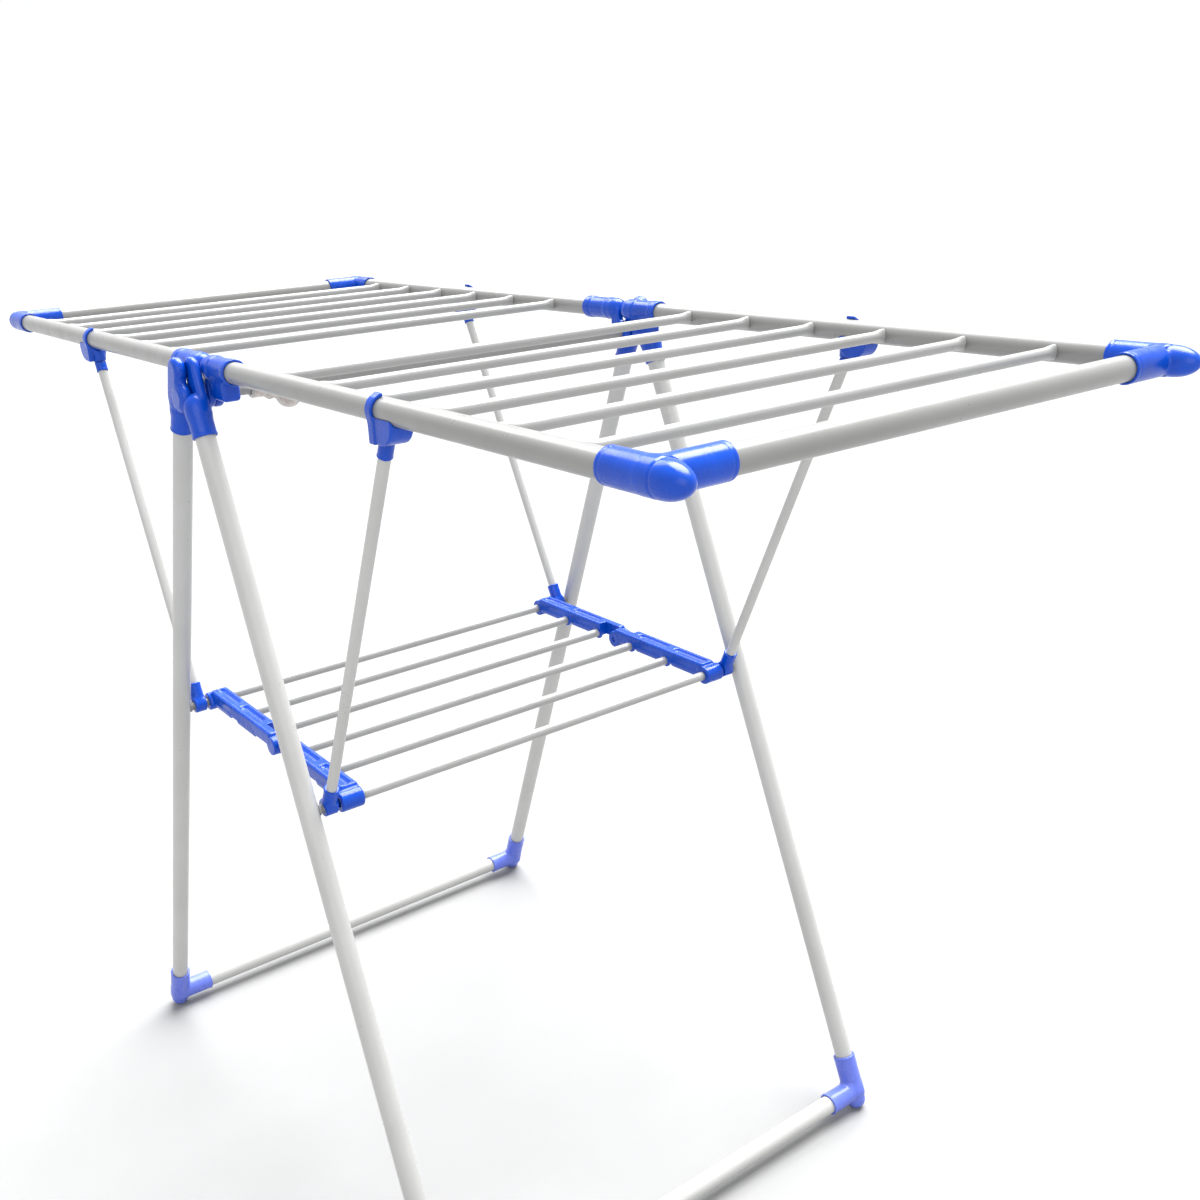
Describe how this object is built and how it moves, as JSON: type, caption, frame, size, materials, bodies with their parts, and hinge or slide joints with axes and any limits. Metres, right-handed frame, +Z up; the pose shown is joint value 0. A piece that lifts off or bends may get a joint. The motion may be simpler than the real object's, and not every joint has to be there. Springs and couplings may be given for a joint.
{
  "type": "clothes drying rack",
  "caption": "Folding clothes drying rack of white tube with blue plastic joints: crossed leg frames, two level wings of drying rods on struts, and a hinged lower shelf.",
  "frame": {"origin": "on the floor, under the middle of the axle", "axes": "+X along the wings, towards the wing that rides on leg frame B, +Y along the drying rods, +Z up"},
  "size_m": [1.49, 0.6268, 0.9944],
  "materials": {
    "white_tube": "white powder coat, semi gloss",
    "white_rod": "white powder coat on thin drying rods, semi gloss",
    "blue_plastic": "moulded royal blue plastic, glossy",
    "clear_plastic": "cloudy translucent plastic"
  },
  "bodies": {
    "leg_frame_a": {"leg_a_near": "white_tube", "leg_head_a_near": "blue_plastic", "foot_a_near": "blue_plastic", "leg_a_far": "white_tube", "leg_head_a_far": "blue_plastic", "foot_a_far": "blue_plastic", "floor_bar_a": "white_tube", "axle": "white_tube", "hanger_clip": "clear_plastic"},
    "leg_frame_b": {"leg_b_near": "white_tube", "leg_head_b_near": "blue_plastic", "foot_b_near": "blue_plastic", "leg_b_far": "white_tube", "leg_head_b_far": "blue_plastic", "foot_b_far": "blue_plastic", "floor_bar_b": "white_tube"},
    "wing_left": {"rail_left_near": "white_tube", "rail_socket_left_near": "blue_plastic", "corner_left_near": "blue_plastic", "strut_clip_left_near": "blue_plastic", "rail_left_far": "white_tube", "rail_socket_left_far": "blue_plastic", "corner_left_far": "blue_plastic", "strut_clip_left_far": "blue_plastic", "end_tube_left": "white_tube", "wing_rod_left_1": "white_rod", "wing_rod_left_2": "white_rod", "wing_rod_left_3": "white_rod", "wing_rod_left_4": "white_rod", "wing_rod_left_5": "white_rod", "wing_rod_left_6": "white_rod"},
    "wing_right": {"rail_right_near": "white_tube", "rail_socket_right_near": "blue_plastic", "corner_right_near": "blue_plastic", "strut_clip_right_near": "blue_plastic", "rail_right_far": "white_tube", "rail_socket_right_far": "blue_plastic", "corner_right_far": "blue_plastic", "strut_clip_right_far": "blue_plastic", "end_tube_right": "white_tube", "wing_rod_right_1": "white_rod", "wing_rod_right_2": "white_rod", "wing_rod_right_3": "white_rod", "wing_rod_right_4": "white_rod", "wing_rod_right_5": "white_rod", "wing_rod_right_6": "white_rod"},
    "strut_left_near": {"strut_left_near": "white_tube"},
    "strut_left_far": {"strut_left_far": "white_tube"},
    "strut_right_near": {"strut_right_near": "white_tube"},
    "strut_right_far": {"strut_right_far": "white_tube"},
    "shelf_left": {"shelf_bar_left_near": "blue_plastic", "shelf_bar_left_far": "blue_plastic", "shelf_rod_left_1": "white_rod", "shelf_rod_left_2": "white_rod", "shelf_rod_left_3": "white_rod"},
    "shelf_right": {"shelf_bar_right_near": "blue_plastic", "shelf_bar_right_far": "blue_plastic", "shelf_rod_right_1": "white_rod", "shelf_rod_right_2": "white_rod", "shelf_rod_right_3": "white_rod"}
  },
  "joints": [
    {"name": "leg_fold", "type": "hinge", "parent": "leg_frame_a", "child": "leg_frame_b", "pos_m": [0, 0, 0.952], "axis": [0, 1, 0], "range_deg": [0, 38]},
    {"name": "wing_left_fold", "type": "hinge", "parent": "leg_frame_a", "child": "wing_left", "pos_m": [0, 0, 0.952], "axis": [0, -1, 0], "range_deg": [0, 63]},
    {"name": "wing_right_fold", "type": "hinge", "parent": "leg_frame_b", "child": "wing_right", "pos_m": [0, 0, 0.952], "axis": [0, 1, 0], "range_deg": [0, 63]},
    {"name": "strut_left_near_swing", "type": "hinge", "parent": "leg_frame_a", "child": "strut_left_near", "pos_m": [-0.17756, 0, 0.545], "axis": [0, -1, 0], "range_deg": [0, 130]},
    {"name": "strut_left_far_swing", "type": "hinge", "parent": "leg_frame_a", "child": "strut_left_far", "pos_m": [-0.17756, 0, 0.545], "axis": [0, -1, 0], "range_deg": [0, 130]},
    {"name": "strut_right_near_swing", "type": "hinge", "parent": "leg_frame_b", "child": "strut_right_near", "pos_m": [0.17756, 0, 0.545], "axis": [0, 1, 0], "range_deg": [0, 130]},
    {"name": "strut_right_far_swing", "type": "hinge", "parent": "leg_frame_b", "child": "strut_right_far", "pos_m": [0.17756, 0, 0.545], "axis": [0, 1, 0], "range_deg": [0, 130]},
    {"name": "shelf_left_fold", "type": "hinge", "parent": "leg_frame_a", "child": "shelf_left", "pos_m": [-0.17756, 0, 0.545], "axis": [0, -1, 0], "range_deg": [0, 60]},
    {"name": "shelf_knuckle_fold", "type": "hinge", "parent": "shelf_left", "child": "shelf_right", "pos_m": [0, 0, 0.545], "axis": [0, 1, 0], "range_deg": [0, 158]}
  ],
  "couplings": [
    {"joint": "strut_left_near_swing", "follows": "wing_left_fold", "ratio": 2.05},
    {"joint": "strut_left_far_swing", "follows": "wing_left_fold", "ratio": 2.05},
    {"joint": "strut_right_near_swing", "follows": "wing_right_fold", "ratio": 2.05},
    {"joint": "strut_right_far_swing", "follows": "wing_right_fold", "ratio": 2.05},
    {"joint": "shelf_left_fold", "follows": "leg_fold", "ratio": 1.5659},
    {"joint": "shelf_knuckle_fold", "follows": "leg_fold", "ratio": 4.1319}
  ]
}
